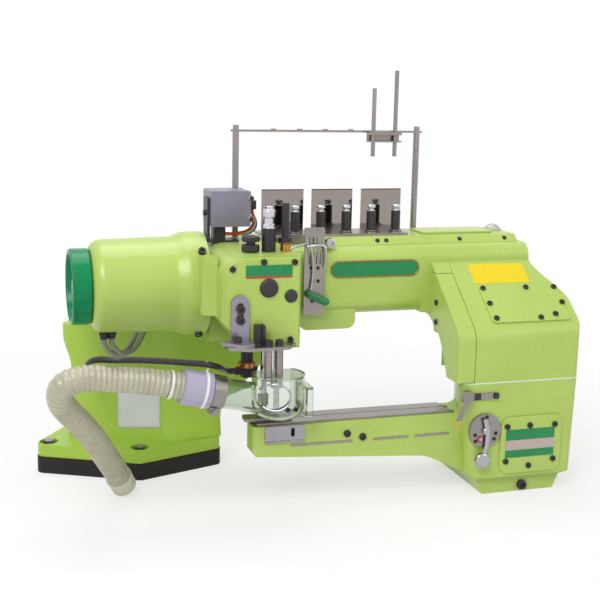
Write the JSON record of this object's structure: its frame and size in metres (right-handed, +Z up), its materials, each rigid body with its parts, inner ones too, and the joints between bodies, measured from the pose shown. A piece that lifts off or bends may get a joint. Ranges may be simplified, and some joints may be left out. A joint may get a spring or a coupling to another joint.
{
  "type": "flatlock machine",
  "caption": "Flatlock sewing machine with a motor-driven head on a pedestal, a narrow cylinder bed, a belt column, a thread stand and a clear suction nozzle with its hose.",
  "frame": {"origin": "centre of the base plate's bottom face, on the floor", "axes": "+X along the arm to the operator's right, +Y away from the operator, +Z up"},
  "size_m": [0.713, 0.3873, 0.568],
  "materials": {
    "lime_paint": "satin lime-green machine enamel",
    "dark_plinth": "dark grey-brown moulded plinth",
    "green_wheel": "smooth green moulded handwheel",
    "badge_green": "printed green plate, left bare",
    "steel": "ground and brushed steel",
    "bright": "polished nickel-plated steel",
    "shafting": "ground shafting",
    "alu": "satin cast aluminium",
    "black_metal": "blackened steel",
    "black_rubber": "black rubber",
    "black_plastic": "black moulded plastic",
    "brass": "turned brass with a black body",
    "clear": "clear acrylic moulding",
    "cuff": "pale grey-violet soft cuff",
    "hose": "translucent beige ribbed hose",
    "cable": "grey cable jacket",
    "wires": "coloured wire jackets",
    "guard_green": "green plastic thread guard",
    "belt": "black toothed belt"
  },
  "bodies": {
    "machine_body": {"base_plinth": "dark_plinth", "pedestal": "lime_paint", "base_bolts": "steel", "motor_housing": "lime_paint", "motor_cables": "cable", "timing_belt": "belt", "arm_casting": "lime_paint", "head_cover": "lime_paint", "panel_screws": "black_metal", "head_plugs": "black_rubber", "badge_plates": "badge_green", "pressure_regulator": "black_metal", "lift_guide": "black_metal", "top_cover": "lime_paint", "filler_lid": "lime_paint", "oil_sight": "clear", "column_cover": "lime_paint", "belt_cover": "lime_paint", "access_plate": "lime_paint", "bed_casting": "lime_paint", "side_plate": "lime_paint", "oil_pan": "lime_paint", "bed_strips": "steel", "feed_dial": "steel", "guide_finger": "steel", "thread_plate": "steel", "thread_wires": "bright", "thread_guard": "guard_green", "tension_bed": "steel", "thread_stand": "steel", "spool_pins": "steel", "valve_box": "alu", "valve_wires": "wires", "nozzle_bracket": "alu", "nozzle_plate": "steel", "suction_nozzle": "clear", "hose_clamp": "steel", "hose_cuff": "cuff", "suction_hose": "hose", "hose_end": "cuff", "air_hose": "black_rubber", "air_fitting": "brass"},
    "main_drive": {"handwheel": "green_wheel", "main_shaft": "shafting", "drive_pulley": "shafting"},
    "lower_drive": {"lower_shaft": "shafting", "driven_pulley": "shafting"},
    "needle_unit": {"needle_bar": "bright", "needles": "bright"},
    "presser_unit": {"presser_bar": "bright", "presser_foot": "steel"},
    "pressure_knob": {"pressure_knob": "black_plastic"},
    "looper_cover": {"looper_cover": "bright"},
    "feed_lever": {"feed_lever": "bright"},
    "tension_knob_1": {"tension_knob_1": "black_plastic"},
    "tension_knob_2": {"tension_knob_2": "black_plastic"},
    "tension_knob_3": {"tension_knob_3": "black_plastic"},
    "tension_knob_4": {"tension_knob_4": "black_plastic"},
    "tension_knob_5": {"tension_knob_5": "black_plastic"},
    "tension_knob_6": {"tension_knob_6": "black_plastic"}
  },
  "joints": [
    {"name": "main_spin", "type": "hinge", "parent": "machine_body", "child": "main_drive", "pos_m": [-0.09, -0.122, 0.282], "axis": [1, 0, 0], "continuous": true},
    {"name": "lower_spin", "type": "hinge", "parent": "machine_body", "child": "lower_drive", "pos_m": [0.36, -0.22, 0.086], "axis": [1, 0, 0], "continuous": true},
    {"name": "needle_stroke", "type": "slide", "parent": "machine_body", "child": "needle_unit", "axis": [0, 0, -1], "range_m": [0, 0.03]},
    {"name": "presser_lift", "type": "slide", "parent": "machine_body", "child": "presser_unit", "axis": [0, 0, 1], "range_m": [0, 0.008], "stiffness_N_per_m": 1500, "springref_m": -0.015},
    {"name": "pressure_turn", "type": "hinge", "parent": "machine_body", "child": "pressure_knob", "pos_m": [0.129, -0.212, 0.34], "axis": [0, 0, 1], "range_deg": [-720, 720]},
    {"name": "looper_cover_open", "type": "hinge", "parent": "machine_body", "child": "looper_cover", "pos_m": [0.169, -0.247, 0.092], "axis": [1, 0, 0], "range_deg": [0, 85]},
    {"name": "feed_lever_turn", "type": "hinge", "parent": "machine_body", "child": "feed_lever", "pos_m": [0.441, -0.272, 0.095], "axis": [0, 1, 0], "range_deg": [-25, 25]},
    {"name": "tension_turn_1", "type": "hinge", "parent": "machine_body", "child": "tension_knob_1", "pos_m": [0.18, -0.117, 0.36], "axis": [0, 0, 1], "range_deg": [-720, 720]},
    {"name": "tension_turn_2", "type": "hinge", "parent": "machine_body", "child": "tension_knob_2", "pos_m": [0.217, -0.117, 0.36], "axis": [0, 0, 1], "range_deg": [-720, 720]},
    {"name": "tension_turn_3", "type": "hinge", "parent": "machine_body", "child": "tension_knob_3", "pos_m": [0.254, -0.117, 0.36], "axis": [0, 0, 1], "range_deg": [-720, 720]},
    {"name": "tension_turn_4", "type": "hinge", "parent": "machine_body", "child": "tension_knob_4", "pos_m": [0.291, -0.117, 0.36], "axis": [0, 0, 1], "range_deg": [-720, 720]},
    {"name": "tension_turn_5", "type": "hinge", "parent": "machine_body", "child": "tension_knob_5", "pos_m": [0.328, -0.117, 0.36], "axis": [0, 0, 1], "range_deg": [-720, 720]},
    {"name": "tension_turn_6", "type": "hinge", "parent": "machine_body", "child": "tension_knob_6", "pos_m": [0.365, -0.117, 0.36], "axis": [0, 0, 1], "range_deg": [-720, 720]}
  ],
  "couplings": [
    {"joint": "lower_spin", "follows": "main_spin", "ratio": 1}
  ]
}
